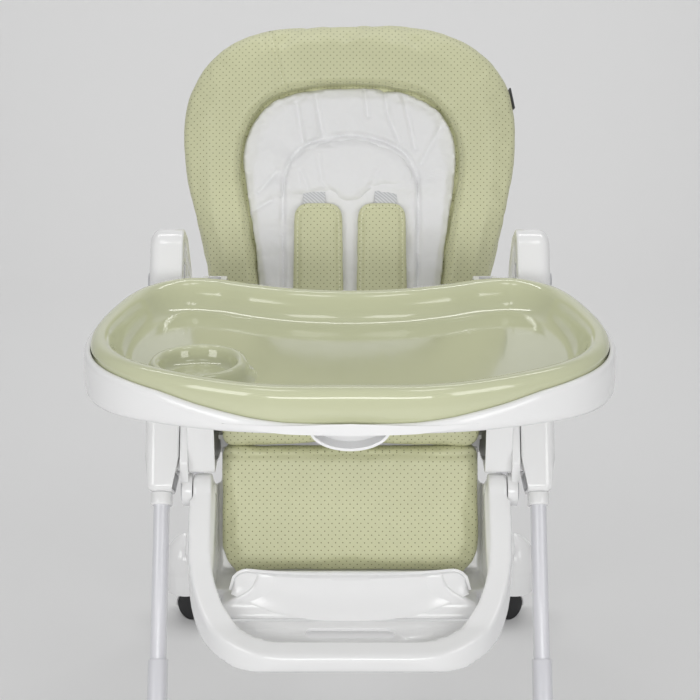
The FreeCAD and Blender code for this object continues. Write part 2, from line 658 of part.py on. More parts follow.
def band(low, high):
    """Everything between two front-view curves; each is heights at x 0, 90, 176, 256, 300."""
    stations = (0, 90, 176, 256, 300)

    def curve(heights):
        pairs = list(zip(stations, heights))
        full = [(-a, b) for a, b in reversed(pairs[1:])] + pairs
        line = Part.BSplineCurve()
        line.interpolate([V(a, -450, b) for a, b in full])
        return line.toShape()
    right = Part.makeLine(V(300, -450, low[-1]), V(300, -450, high[-1]))
    left = Part.makeLine(V(-300, -450, low[-1]), V(-300, -450, high[-1]))
    wire = Part.Wire(Part.__sortEdges__([curve(low), right, curve(high), left]))
    return Part.Face(wire).extrude(V(0, 440, 0))


split = (627, 632, 644, 648, 648)
under = (621, 618, 612, 604, 600)
flat_top = (700, 700, 700, 700, 700)


def raised(heights, amount):
    return tuple(height + amount for height in heights)


def bowl(widen, drop):
    """Sloping inside of the tray, from the rim down to its floor."""
    return Part.makeLoft([smooth_loop(grown(tray_loop, widen - 44), tray_floor_z - drop),
                          smooth_loop(grown(tray_loop, widen - 30), tray_floor_z - drop + 7),
                          smooth_loop(grown(tray_loop, widen - 16), tray_rim_z + 0.01)], True, True)


top = prism(tray_loop, 600, tray_rim_z)
top = softened(top, tray_edge, "Z", tray_rim_z)
basin = bowl(0, 0)
top = top.cut(basin)
hollow = prism(grown(tray_loop, -tray_skin), 560, tray_rim_z - 10)
top = top.cut(hollow.cut(bowl(tray_skin, tray_skin)))
top = top.common(band(raised(split, 0.2), flat_top).fuse(prism(grown(tray_loop, -tray_edge), 620, tray_rim_z)))
cup_x, cup_y, cup_radius = -146.0, -292.0, 36.0
cup_rise = 18.0
cup_ring = rod(cup_radius + 9, (cup_x, cup_y, tray_floor_z - 1), (cup_x, cup_y, tray_floor_z + cup_rise))
cup_ring = softened(cup_ring, 4.0, "Z", tray_floor_z + cup_rise)
cup_hole = rod(cup_radius, (cup_x, cup_y, tray_floor_z + 2), (cup_x, cup_y, 700))
top = top.fuse(cup_ring).cut(cup_hole)
save("tray_top", top.removeSplitter())

base_loop = grown(tray_loop, tray_lip)
base = prism(base_loop, 560, 680).common(band(under, split))
inside = grown(base_loop, -tray_skin)
base = base.cut(prism(inside, 550, tray_deck_z - tray_skin)).cut(prism(inside, tray_deck_z, 700))
rail = box(156.5, 168.5, -131, 20, 588, 601)
web = box(159.5, 165.5, -131, -84, 600, tray_deck_z - 1)
base = base.fuse(rail).fuse(web).fuse(mirrored(rail)).fuse(mirrored(web))
guide = box(24, 30, -372, -330, 609, tray_deck_z - 1).fuse(box(20, 30, -372, -330, 604, 610))
base = base.fuse(guide).fuse(mirrored(guide))
behind = box(180, 300, -half - lobe_gap, 100, 400, 1000)
base = base.cut(on_leg(behind)).cut(on_leg(mirrored(behind)))
save("tray_base", base.removeSplitter())

grip = plate_y([(-36, 599, 15), (36, 599, 15), (36, 619.5, 4), (-36, 619.5, 4)], -397, -374)
grip = grip.cut(plate_y([(-32, 603, 11), (32, 603, 11), (32, 616.5, 2), (-32, 616.5, 2)], -400, -378))
stem = box(-19, 19, -376, -318, 611, 617)
blade = box(-23, 23, -366, -336, 611, 617)
save("tray_handle", grip.fuse(stem).fuse(blade).removeSplitter())
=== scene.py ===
import json
import math
import bpy
import bmesh
from mathutils import Matrix, Vector, noise
from mathutils.bvhtree import BVHTree
from mathutils.kdtree import KDTree


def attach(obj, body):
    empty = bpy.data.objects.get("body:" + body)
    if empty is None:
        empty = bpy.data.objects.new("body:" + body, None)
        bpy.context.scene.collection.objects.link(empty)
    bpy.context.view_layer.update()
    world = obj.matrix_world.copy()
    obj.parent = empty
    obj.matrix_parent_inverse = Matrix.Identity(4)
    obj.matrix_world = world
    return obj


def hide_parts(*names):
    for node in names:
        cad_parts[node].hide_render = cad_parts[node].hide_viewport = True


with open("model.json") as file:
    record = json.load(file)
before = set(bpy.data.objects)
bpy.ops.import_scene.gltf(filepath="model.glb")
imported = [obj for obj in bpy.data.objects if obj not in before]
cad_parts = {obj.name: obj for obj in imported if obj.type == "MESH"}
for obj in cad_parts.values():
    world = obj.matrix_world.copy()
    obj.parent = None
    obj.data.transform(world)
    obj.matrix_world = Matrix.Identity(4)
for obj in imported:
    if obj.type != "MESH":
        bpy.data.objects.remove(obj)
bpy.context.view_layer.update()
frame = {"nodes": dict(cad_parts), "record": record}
nodes = frame["nodes"]
print("frame loaded")

mm = 0.001
backTurn = Matrix.Translation((0, 0.160, 0.450)) @ Matrix.Rotation(math.radians(-20), 4, "X")
upright = Matrix.Identity(4)


def linearFromHex(code):
    channels = [int(code[i:i + 2], 16) / 255 for i in (1, 3, 5)]
    curve = [c / 12.92 if c <= 0.04045 else ((c + 0.055) / 1.055) ** 2.4 for c in channels]
    return (*curve, 1.0)


def addNode(tree, kind, settings=None, links=None):
    node = tree.nodes.new(kind)
    for key, value in (settings or {}).items():
        if isinstance(key, int) or key in node.inputs:
            node.inputs[key].default_value = value
        else:
            setattr(node, key, value)
    for key, source in (links or {}).items():
        tree.links.new(source, node.inputs[key])
    return node


def startMaterial(name, color, roughness, more=None):
    material = bpy.data.materials.new(name)
    material.use_nodes = True
    tree = material.node_tree
    shader = tree.nodes["Principled BSDF"]
    shader.inputs["Base Color"].default_value = linearFromHex(color)
    shader.inputs["Roughness"].default_value = roughness
    for key, value in (more or {}).items():
        shader.inputs[key].default_value = value
    return material, tree, shader


# object coordinates, turned back to upright on the pieces that lean
def objectSpot(tree, turnX=0.0):
    place = addNode(tree, "ShaderNodeTexCoord")
    turned = addNode(tree, "ShaderNodeMapping", {"Rotation": (turnX, 0, 0)},
                     {"Vector": place.outputs["Object"]})
    return turned.outputs["Vector"]


# the hole colour is painted shade: a darker copy of the cover colour for the inside of the pin holes
leatherette = {"color": "#CFD0AA", "holeShade": "#6F6F45", "pitch": 8 * mm, "holeRadius": 0.62 * mm,
               "grain": 1.3 * mm, "roughness": 0.46}


# distance to the nearest hole of a staggered grid: two square grids, one shifted by half a pitch
def holeMask(tree, place, pitch, radius):
    scaled = addNode(tree, "ShaderNodeVectorMath", {"operation": "SCALE", "Scale": 1 / pitch}, {0: place})
    distances = []
    for shift in (0.0, 0.5):
        moved = addNode(tree, "ShaderNodeVectorMath", {"operation": "ADD", 1: (shift, shift, 0)},
                        {0: scaled.outputs[0]})
        cell = addNode(tree, "ShaderNodeVectorMath", {"operation": "FRACTION"}, {0: moved.outputs[0]})
        centred = addNode(tree, "ShaderNodeVectorMath", {"operation": "SUBTRACT", 1: (0.5, 0.5, 0)},
                          {0: cell.outputs[0]})
        flat = addNode(tree, "ShaderNodeVectorMath", {"operation": "MULTIPLY", 1: (1, 1, 0)},
                       {0: centred.outputs[0]})
        distances.append(addNode(tree, "ShaderNodeVectorMath", {"operation": "LENGTH"},
                                 {0: flat.outputs[0]}).outputs["Value"])
    nearest = addNode(tree, "ShaderNodeMath", {"operation": "MINIMUM"}, {0: distances[0], 1: distances[1]})
    edge = addNode(tree, "ShaderNodeMapRange",
                   {"From Min": radius / pitch * 0.6, "From Max": radius / pitch * 1.35},
                   {"Value": nearest.outputs[0]})
    return edge.outputs["Result"]


# PVC leatherette on foam, punched: satin pebble grain, with pin holes 8 mm apart in staggered rows, each
# coloured dark as painted shade inside the hole
def makeLeatherette(name, turnX=0.0):
    look = leatherette
    material, tree, shader = startMaterial(name, look["color"], look["roughness"],
                                           {"Sheen Weight": 0.04, "Sheen Roughness": 0.5, "IOR": 1.46})
    spot = objectSpot(tree, turnX)
    place = addNode(tree, "ShaderNodeSeparateXYZ", None, {0: spot})
    planes = [addNode(tree, "ShaderNodeCombineXYZ", None, {0: place.outputs[a], 1: place.outputs[b]})
              for a, b in (("X", "Z"), ("Y", "Z"), ("X", "Y"))]
    source = addNode(tree, "ShaderNodeTexCoord")
    facing = addNode(tree, "ShaderNodeMapping", {"Rotation": (turnX, 0, 0), "vector_type": "NORMAL"},
                     {"Vector": source.outputs["Normal"]})
    split = addNode(tree, "ShaderNodeSeparateXYZ", None, {0: facing.outputs["Vector"]})
    holes = holeMask(tree, planes[0].outputs[0], look["pitch"], look["holeRadius"])
    for axis, plane in (("X", planes[1]), ("Z", planes[2])):
        size = addNode(tree, "ShaderNodeMath", {"operation": "ABSOLUTE"}, {0: split.outputs[axis]})
        chosen = addNode(tree, "ShaderNodeMath", {"operation": "GREATER_THAN", 1: 0.75}, {0: size.outputs[0]})
        other = holeMask(tree, plane.outputs[0], look["pitch"], look["holeRadius"])
        mixed = addNode(tree, "ShaderNodeMix", None, {"Factor": chosen.outputs[0], 2: holes, 3: other})
        holes = mixed.outputs[0]
    cloud = addNode(tree, "ShaderNodeTexNoise", {"Scale": 9.0, "Detail": 3.0}, {"Vector": spot})
    tint = addNode(tree, "ShaderNodeMapRange",
                   {"From Min": 0.3, "From Max": 0.7, "To Min": 0.95, "To Max": 1.03},
                   {"Value": cloud.outputs["Fac"]})
    # painted shade: the pin holes take a darker copy of the cover colour in place of the shade inside them
    paintedShadeColour = addNode(tree, "ShaderNodeMix", {"data_type": "RGBA", 6: linearFromHex(look["holeShade"]),
                                            7: linearFromHex(look["color"])}, {"Factor": holes})
    final = addNode(tree, "ShaderNodeVectorMath", {"operation": "SCALE"},
                    {0: paintedShadeColour.outputs[2], "Scale": tint.outputs["Result"]})
    tree.links.new(final.outputs[0], shader.inputs["Base Color"])
    grain = addNode(tree, "ShaderNodeTexVoronoi", {"Scale": 1 / look["grain"], "feature": "DISTANCE_TO_EDGE"},
                    {"Vector": spot})
    pebble = addNode(tree, "ShaderNodeMath", {"operation": "MULTIPLY_ADD", 1: 0.3},
                     {0: grain.outputs["Distance"], 2: holes})
    bump = addNode(tree, "ShaderNodeBump", {"Strength": 0.35, "Distance": 0.4 * mm},
                   {"Height": pebble.outputs[0]})
    tree.links.new(bump.outputs[0], shader.inputs["Normal"])
    return material


# brushed cotton over wadding: matt and white, thread drawn at 1.4 mm so that it shows, soft puckers
def makeLiner(name, turnX=0.0):
    material, tree, shader = startMaterial(name, "#ECECED", 0.85, {"Sheen Weight": 0.25, "IOR": 1.4})
    spot = objectSpot(tree, turnX)
    weaves = [addNode(tree, "ShaderNodeTexWave", {"Scale": 0.314 / (1.4 * mm), "bands_direction": way,
                                                  "Distortion": 0.6, "Detail": 1.0}, {"Vector": spot})
              for way in ("X", "Z")]
    cloth = addNode(tree, "ShaderNodeMath", {"operation": "MAXIMUM"},
                    {0: weaves[0].outputs["Fac"], 1: weaves[1].outputs["Fac"]})
    pucker = addNode(tree, "ShaderNodeTexNoise", {"Scale": 32.0, "Detail": 4.0, "Roughness": 0.55},
                     {"Vector": spot})
    height = addNode(tree, "ShaderNodeMath", {"operation": "MULTIPLY_ADD", 1: 14.0},
                     {0: pucker.outputs["Fac"], 2: cloth.outputs[0]})
    bump = addNode(tree, "ShaderNodeBump", {"Strength": 0.3, "Distance": 0.4 * mm},
                   {"Height": height.outputs[0]})
    tree.links.new(bump.outputs[0], shader.inputs["Normal"])
    return material


# injection-moulded ABS: glossy, with the shallow sink-mark waves a mould leaves and light handling scuffs
def makeMoulded(name, color, roughness, coat=0.3, wave=0.05, more=None):
    material, tree, shader = startMaterial(name, color, roughness, {"IOR": 1.5, "Coat Weight": coat,
                                                                    "Coat Roughness": 0.06, **(more or {})})
    spot = objectSpot(tree)
    wavy = addNode(tree, "ShaderNodeTexNoise", {"Scale": 14.0, "Detail": 1.0}, {"Vector": spot})
    fine = addNode(tree, "ShaderNodeTexNoise", {"Scale": 900.0, "Detail": 2.0}, {"Vector": spot})
    height = addNode(tree, "ShaderNodeMath", {"operation": "MULTIPLY_ADD", 1: 0.02},
                     {0: fine.outputs["Fac"], 2: wavy.outputs["Fac"]})
    bump = addNode(tree, "ShaderNodeBump", {"Strength": wave, "Distance": 1.0 * mm},
                   {"Height": height.outputs[0]})
    tree.links.new(bump.outputs[0], shader.inputs["Normal"])
    scuff = addNode(tree, "ShaderNodeTexNoise", {"Scale": 60.0, "Detail": 5.0}, {"Vector": spot})
    gloss = addNode(tree, "ShaderNodeMapRange", {"From Min": 0.35, "From Max": 0.75, "To Min": roughness,
                                                 "To Max": roughness + 0.06}, {"Value": scuff.outputs["Fac"]})
    tree.links.new(gloss.outputs["Result"], shader.inputs["Roughness"])
    return material


# powder-coated steel tube: satin, with the slight orange peel of baked powder
def makePowderCoat():
    material, tree, shader = startMaterial("powder coated steel tube", "#DCDCE1", 0.3,
                                           {"IOR": 1.52, "Coat Weight": 0.4, "Coat Roughness": 0.12})
    peel = addNode(tree, "ShaderNodeTexNoise", {"Scale": 700.0, "Detail": 1.0}, {"Vector": objectSpot(tree)})
    bump = addNode(tree, "ShaderNodeBump", {"Strength": 0.12, "Distance": 0.3 * mm},
                   {"Height": peel.outputs["Fac"]})
    tree.links.new(bump.outputs[0], shader.inputs["Normal"])
    return material


# woven polyester tape: pale grey, slanting twill ribs about 2.4 mm apart, with painted shade darkening the
# grooves between them
def makeWebbing(name, turnX=0.0):
    material, tree, shader = startMaterial(name, "#D9DADC", 0.8, {"Sheen Weight": 0.2})
    spot = objectSpot(tree, turnX)
    ribs = addNode(tree, "ShaderNodeTexWave", {"Scale": 0.314 / (2.4 * mm), "bands_direction": "DIAGONAL"},
                   {"Vector": spot})
    # painted shade: the grooves between the ribs get the darker grey, the raised ribs the lighter one
    paintedShadeColour = addNode(tree, "ShaderNodeMix", {"data_type": "RGBA", 6: linearFromHex("#C0C1C4"),
                                            7: linearFromHex("#DEDFE1")}, {"Factor": ribs.outputs["Fac"]})
    tree.links.new(paintedShadeColour.outputs[2], shader.inputs["Base Color"])
    bump = addNode(tree, "ShaderNodeBump", {"Strength": 0.5, "Distance": 0.4 * mm},
                   {"Height": ribs.outputs["Fac"]})
    tree.links.new(bump.outputs[0], shader.inputs["Normal"])
    return material


# zinc-plated steel: bright, with faint turning marks
def makeZinc():
    material, tree, shader = startMaterial("zinc plated steel", "#C9CACC", 0.28, {"Metallic": 1.0})
    marks = addNode(tree, "ShaderNodeTexNoise", {"Scale": 400.0, "Detail": 3.0}, {"Vector": objectSpot(tree)})
    gloss = addNode(tree, "ShaderNodeMapRange", {"To Min": 0.22, "To Max": 0.42},
                    {"Value": marks.outputs["Fac"]})
    tree.links.new(gloss.outputs["Result"], shader.inputs["Roughness"])
    return material


# spun polyester sewing thread: matt, with the twist of its plies
def makeThread(name, color):
    material, tree, shader = startMaterial(name, color, 0.7, {"Sheen Weight": 0.3})
    twist = addNode(tree, "ShaderNodeTexWave", {"Scale": 300.0, "bands_direction": "DIAGONAL"},
                    {"Vector": objectSpot(tree)})
    bump = addNode(tree, "ShaderNodeBump", {"Strength": 0.4, "Distance": 0.2 * mm},
                   {"Height": twist.outputs["Fac"]})
    tree.links.new(bump.outputs[0], shader.inputs["Normal"])
    return material


lean = math.radians(20)
backLeather = makeLeatherette("punched leatherette back", lean)
padLeather = makeLeatherette("punched leatherette seat")
backLinerCloth = makeLiner("brushed cotton back", lean)
seatLinerCloth = makeLiner("brushed cotton seat")
whiteAbs = makeMoulded("moulded white ABS", "#F1F1F1", 0.14)
greenAbs = makeMoulded("moulded pale green ABS", "#CBCEAC", 0.08, 0.6, 0.03)
greyAbs = makeMoulded("moulded grey ABS", "#C6C7CA", 0.35, 0.1, 0.1)
wheelRubber = makeMoulded("moulded black rubber", "#1B1B1D", 0.5, 0.0, 0.15)
powderCoat = makePowderCoat()
webbing = makeWebbing("woven tape seat")
backWebbing = makeWebbing("woven tape back", lean)
zinc = makeZinc()
paleThread = makeThread("spun thread pale green", "#E9E9D0")
whiteThread = makeThread("spun thread white", "#F2F2F2")
slotLooks = {"painted tube": powderCoat, "white plastic": whiteAbs, "green plastic": greenAbs,
             "grey plastic": greyAbs, "green leatherette": padLeather, "white liner": seatLinerCloth,
             "webbing": webbing, "wheel black": wheelRubber, "zinc steel": zinc}
print("materials made")


def setMaterial(piece, material):
    piece.data.materials.clear()
    piece.data.materials.append(material)


def bodyOf(node):
    return next(name for name, members in frame["record"]["behaviour"]["bodies"].items() if node in members)


def slotOf(node):
    return next(entry["material_slot"] for entry in frame["record"]["subparts"] if entry["node"] == node)


def finishPiece(bm, name, material, body, replaced=(), smoothAngle=None):
    mesh = bpy.data.meshes.new(name)
    bm.to_mesh(mesh)
    bm.free()
    for polygon in mesh.polygons:
        polygon.use_smooth = True
    if smoothAngle:
        mesh.set_sharp_from_angle(angle=math.radians(smoothAngle))
    piece = bpy.data.objects.new(name, mesh)
    bpy.context.scene.collection.objects.link(piece)
    setMaterial(piece, material)
    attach(piece, body)
    if replaced:
        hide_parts(*replaced)
    return piece


def mergedCopy(*names):
    bm = bmesh.new()
    for name in names:
        bm.from_mesh(nodes[name].data)
    bmesh.ops.remove_doubles(bm, verts=bm.verts, dist=0.00002)
    return bm


def applied(piece):
    bpy.context.view_layer.update()
    graph = bpy.context.evaluated_depsgraph_get()
    mesh = bpy.data.meshes.new_from_object(piece.evaluated_get(graph))
    old = piece.data
    piece.modifiers.clear()
    piece.data = mesh
    bpy.data.meshes.remove(old)
    for polygon in mesh.polygons:
        polygon.use_smooth = True
    return piece


def remeshed(piece, voxel, relax=0, strength=0.5):
    skin = piece.modifiers.new("even skin", "REMESH")
    skin.mode = "VOXEL"
    skin.voxel_size = voxel
    applied(piece)
    if relax:
        soft = piece.modifiers.new("soft edges", "SMOOTH")
        soft.factor = strength
        soft.iterations = relax
        applied(piece)
    return piece


def subdivided(piece):
    finer = piece.modifiers.new("finer", "SUBSURF")
    finer.levels = 1
    finer.render_levels = 1
    return applied(piece)


# foam filling: the cover swells under a light pressure, no point by more than the cap
def inflated(piece, pressure, cap, frames=20):
    start = [vertex.co.copy() for vertex in piece.data.vertices]
    cloth = piece.modifiers.new("filling", "CLOTH")
    cloth.settings.use_pressure = True
    cloth.settings.uniform_pressure_force = pressure
    cloth.settings.effector_weights.gravity = 0
    cloth.settings.quality = 4
    cloth.point_cache.frame_start = 1
    cloth.point_cache.frame_end = frames
    for step in range(1, frames + 1):
        bpy.context.scene.frame_set(step)
    applied(piece)
    bpy.context.scene.frame_set(1)
    for vertex, old in zip(piece.data.vertices, start):
        move = vertex.co - old
        if move.length > cap:
            vertex.co = old + move * (cap / move.length)
    return piece


# even steps along a line of a few points, through a smooth curve
def smoothPath(points, step, closed=False):
    count = len(points)
    corners = [Vector(point) for point in points]
    fine = []
    for i in range(count if closed else count - 1):
        if closed:
            p = [corners[(i + k) % count] for k in (-1, 0, 1, 2)]
        else:
            p = [corners[max(0, min(count - 1, i + k))] for k in (-1, 0, 1, 2)]
        for j in range(16):
            t = j / 16
            fine.append(0.5 * (2 * p[1] + (p[2] - p[0]) * t + (2 * p[0] - 5 * p[1] + 4 * p[2] - p[3]) * t * t
                               + (3 * p[1] - p[0] - 3 * p[2] + p[3]) * t ** 3))
    fine.append(corners[0] if closed else corners[-1])
    lengths = [(b - a).length for a, b in zip(fine, fine[1:])]
    total = sum(lengths)
    pieces = max(2, round(total / step))
    result = []
    reached, index = 0.0, 0
    for k in range(pieces if closed else pieces + 1):
        target = total * k / pieces
        while index < len(lengths) - 1 and reached + lengths[index] < target:
            reached += lengths[index]
            index += 1
        result.append(fine[index].lerp(fine[index + 1], (target - reached) / max(lengths[index], 1e-9)))
    return result


# a sewn line: the cover is pulled in along a path, with gathers that fade away from it
def sewn(piece, path, turn, axis, depth, width, gather=0.0, reach=0.02, period=0.012, seed=0.0):
    inverse = turn.inverted()
    spots = smoothPath([(a * mm, b * mm, 0) for a, b in path], 2 * mm)
    tree = KDTree(len(spots))
    for index, spot in enumerate(spots):
        tree.insert(spot, index)
    tree.balance()
    inward = (turn.to_3x3() @ Vector(axis)).normalized()
    normals = [vertex.normal.copy() for vertex in piece.data.vertices]
    for vertex, normal in zip(piece.data.vertices, normals):
        if normal.dot(inward) > -0.25:
            continue
        local = inverse @ vertex.co
        flat = Vector((local.x, local.z if abs(axis[1]) > 0.5 else local.y, 0))
        near, index, distance = tree.find(flat)
        if distance > reach * 3:
            continue
        wave = noise.noise(Vector((index * 2 * mm / period + seed, seed * 3.7, 0)))
        press = depth * math.exp(-(distance / width) ** 2)
        fold = gather * wave * math.exp(-distance / reach) * min(1, distance / width)
        vertex.co += inward * (press + fold)
    piece.data.update()


# slack in a cover: broad uneven swells, broken where the noise says
def slackened(piece, amount, size, seed):
    normals = [vertex.normal.copy() for vertex in piece.data.vertices]
    for vertex, normal in zip(piece.data.vertices, normals):
        place = vertex.co / size + Vector((seed, seed * 1.7, -seed))
        vertex.co += normal * amount * noise.fractal(place, 0.8, 2.1, 3)
    piece.data.update()


softGoods = {
    "back_cushion": {"voxel": 5 * mm, "relax": 8, "pressure": 4, "cap": 7 * mm, "fill": 0.75},
    "back_liner": {"voxel": 3 * mm, "relax": 6, "pressure": 3, "cap": 5 * mm, "fill": 0.4},
    "shoulder_pad": {"voxel": 3.2 * mm, "relax": 5, "pressure": 4, "cap": 3 * mm, "fill": 0.7},
    "seat_cushion": {"voxel": 5 * mm, "relax": 6, "pressure": 4, "cap": 5 * mm, "fill": 0.7},
    "seat_liner": {"voxel": 4 * mm, "relax": 6, "pressure": 3, "cap": 4 * mm, "fill": 0.4},
    "calf_pad": {"voxel": 4.5 * mm, "relax": 6, "pressure": 4, "cap": 5 * mm, "fill": 0.7},
}


# an even skin, a light pressure from the filling, then a finer surface
def stuffed(piece, look):
    remeshed(piece, look["voxel"], look["relax"])
    inflated(piece, look["pressure"], look["cap"])
    subdivided(piece)
    return piece


def softPiece(node, look, material, name):
    return stuffed(finishPiece(mergedCopy(node), name, material, bodyOf(node), (node,)), look)


# the lines below are in the back's own front view, millimetres from its hinge: across, up
archLine = [(-82, 40), (-82, 118), (-83, 213), (-79, 262), (-62, 290), (-33, 302), (4, 307), (38, 300),
            (65, 286), (79, 266), (84, 238), (84, 119), (83, 40)]
foldLine = [(-78, 352), (-88, 392), (-100, 440)]
foldLineTwin = [(-84, 350), (-96, 392), (-112, 436)]
linerCreases = [[(-66, 345), (-58, 300)], [(-42, 354), (-34, 308)], [(42, 366), (48, 330), (62, 296)],
                [(66, 354), (74, 320), (80, 290)], [(112, 316), (88, 272)], [(-112, 236), (-90, 262)],
                [(-124, 210), (-98, 226)], [(18, 362), (22, 330)]]
into = (0, 1, 0)

bolster = softPiece("back_cushion", softGoods["back_cushion"], backLeather, "back_cushion_cover")
slackened(bolster, 1.2 * mm, 55 * mm, 3.1)
sewn(bolster, foldLine, backTurn, into, 3.5 * mm, 3 * mm, 0, 8 * mm)
sewn(bolster, foldLineTwin, backTurn, into, 2 * mm, 3 * mm, 0, 8 * mm)
wellEdge = [(112, 60), (118, 120), (128, 200), (136, 258), (131, 308), (102, 349), (50, 367)]
wellLoop = wellEdge + [(-a, b) for a, b in reversed(wellEdge)]
sewn(bolster, wellLoop, backTurn, into, 3 * mm, 4 * mm, 4 * mm, 16 * mm, 26 * mm, 5.3)
print("back cushion made")

liner = softPiece("back_liner", softGoods["back_liner"], backLinerCloth, "back_liner_cover")
slackened(liner, 1.6 * mm, 34 * mm, 7.7)
sewn(liner, archLine, backTurn, into, 6 * mm, 3 * mm, 9 * mm, 26 * mm, 24 * mm, 2.2)
for crease in linerCreases:
    sewn(liner, crease, backTurn, into, 3.5 * mm, 3.2 * mm)
print("liner made")


# a thin pillow from a flat outline in the back's front view
def pillow(name, outline, depthBack, depthFront, material, body, look):
    spots = smoothPath([(a * mm, b * mm, 0) for a, b in outline], 6 * mm, True)
    bm = bmesh.new()
    ring = bmesh.ops.create_circle(bm, cap_ends=True, segments=len(spots), radius=0.1)["verts"]
    for vertex, spot in zip(ring, spots):
        vertex.co = (spot.x, depthBack, spot.y)
    front = bmesh.ops.extrude_face_region(bm, geom=bm.faces[:])["geom"]
    for vertex in [g for g in front if isinstance(g, bmesh.types.BMVert)]:
        vertex.co.y = depthFront
    bmesh.ops.recalc_face_normals(bm, faces=bm.faces)
    bmesh.ops.transform(bm, matrix=backTurn, verts=bm.verts)
    return stuffed(finishPiece(bm, name, material, body), look)


headOutline = [(-80, 236), (-79, 262), (-61, 287), (-32, 299), (4, 304), (38, 297), (64, 283), (77, 264),
               (82, 244), (62, 241), (32, 239), (12, 224), (-6, 221), (-24, 231), (-40, 233), (-60, 232)]
headLook = {"voxel": 3.5 * mm, "relax": 6, "pressure": 3, "cap": 3 * mm, "fill": 0.5}
headPad = pillow("head_pad", headOutline, -50 * mm, -60 * mm, backLinerCloth, "backrest",
                 headLook)
slackened(headPad, 1.2 * mm, 30 * mm, 1.3)
for crease in ([(-60, 262), (-52, 240)], [(-38, 282), (-34, 250), (-20, 234)], [(34, 262), (26, 244)]):
    sewn(headPad, crease, backTurn, into, 2.5 * mm, 3 * mm)
print("head pad made")

for side, sign in (("left", -1), ("right", 1)):
    pad = softPiece("shoulder_pad_" + side, softGoods["shoulder_pad"], backLeather,
                    "shoulder_pad_cover_" + side)
    edge = [(sign * 39 + a, b) for a, b in ((-25, 70), (-24, 150), (-23, 205), (-14, 214), (14, 214),
                                           (23, 205), (24, 150), (25, 70))]
    sewn(pad, edge, backTurn, into, 1.6 * mm, 1.6 * mm, 0.5 * mm, 6 * mm, 7 * mm, sign + 4.0)

seatCushion = softPiece("seat_cushion", softGoods["seat_cushion"], padLeather, "seat_cushion_cover")
slackened(seatCushion, 1.6 * mm, 40 * mm, 9.4)
seatLinerPiece = softPiece("seat_liner", softGoods["seat_liner"], seatLinerCloth, "seat_liner_cover")
slackened(seatLinerPiece, 1.6 * mm, 32 * mm, 4.9)
# the front of the liner hangs over the edge of the seat
drape = {"from": -99 * mm, "middle": 506.6 * mm, "radius": 15 * mm, "stretch": 2.1}
for vertex in seatLinerPiece.data.vertices:
    reach = (drape["from"] - vertex.co.y) * drape["stretch"]
    if reach > 0:
        off = vertex.co.z - drape["middle"]
        angle = min(reach / drape["radius"], math.pi / 2)
        straight = max(0.0, reach - drape["radius"] * math.pi / 2)
        around = drape["radius"] + off
        vertex.co.y = drape["from"] - around * math.sin(angle)
        vertex.co.z = drape["middle"] - drape["radius"] + around * math.cos(angle) - straight
calfPad = softPiece("calf_pad", softGoods["calf_pad"], padLeather, "calf_pad_cover")
slackened(calfPad, 1.0 * mm, 60 * mm, 6.2)
topSeam = [(-140, 466), (-60, 466), (0, 466), (60, 466), (140, 466)]
sewn(calfPad, topSeam, upright, into, 2.5 * mm, 3 * mm, 3 * mm, 12 * mm, 16 * mm, 8.1)
print("seat and calf pads made")


# where a path drawn in the front view lands on a piece's front
def landed(path, piece, turn, step):
    graph = bpy.context.evaluated_depsgraph_get()
    tree = BVHTree.FromObject(piece, graph)
    inward = (turn.to_3x3() @ Vector((0, 1, 0))).normalized()
    found = []
    for spot in smoothPath([(a * mm, b * mm, 0) for a, b in path], step):
        start = turn @ Vector((spot.x, -0.3, spot.y))
        hit, normal, index, distance = tree.ray_cast(start, inward)
        if hit:
            found.append((hit, normal))
    return found


# lock stitches: short flattened dashes that lie on the cover
def stitched(name, path, piece, turn, material, body, pitch=4.2 * mm, size=0.45 * mm):
    spots = landed(path, piece, turn, pitch)
    bm = bmesh.new()
    for (here, normal), (there, ignored) in zip(spots, spots[1:]):
        along = (there - here).normalized()
        across = along.cross(normal).normalized()
        turnTo = Matrix((along, across, normal)).transposed().to_4x4()
        turnTo.translation = here.lerp(there, 0.35) + normal * size * 0.3
        dash = bmesh.ops.create_icosphere(bm, subdivisions=1, radius=1.0)["verts"]
        bmesh.ops.scale(bm, vec=(pitch * 0.36, size, size), verts=dash)
        bmesh.ops.transform(bm, matrix=turnTo, verts=dash)
    return finishPiece(bm, name, material, body)


for side, sign in (("left", -1), ("right", 1)):
    pad = bpy.data.objects["shoulder_pad_cover_" + side]
    edge = [(sign * 39 + a, b) for a, b in ((-26.5, 92), (-25.5, 150), (-24.5, 204), (-16, 216), (16, 216),
                                           (24.5, 204), (25.5, 150), (26.5, 92))]
    stitched("shoulder_pad_stitches_" + side, edge, pad, backTurn, paleThread, "backrest")
stitched("arch_stitches", archLine[1:-1], liner, backTurn, whiteThread, "backrest")
stitched("bolster_stitches", foldLine, bolster, backTurn, paleThread, "backrest")
print("stitches made")


# flat tape along points in a turned frame, wide across x
def tape(name, points, width, thickness, turn, material, body, replaced=()):
    spots = smoothPath([(0, y * mm, z * mm) for y, z in points], 4 * mm)
    bm = bmesh.new()
    for centre in width["centres"]:
        grid = bmesh.ops.create_grid(bm, x_segments=6, y_segments=len(spots) - 1, size=0.5)["verts"]
        for vertex in grid:
            place = spots[min(len(spots) - 1, max(0, round((vertex.co.y + 0.5) * (len(spots) - 1))))]
            edge = 2 * vertex.co.x
            across = centre * mm + vertex.co.x * width["size"] * mm
            vertex.co = (across, place.y + 0.6 * mm * edge ** 4, place.z)
    bmesh.ops.recalc_face_normals(bm, faces=bm.faces)
    bmesh.ops.solidify(bm, geom=bm.faces[:], thickness=thickness)
    bmesh.ops.recalc_face_normals(bm, faces=bm.faces)
    bmesh.ops.transform(bm, matrix=turn, verts=bm.verts)
    return finishPiece(bm, name, material, body, replaced, 40)


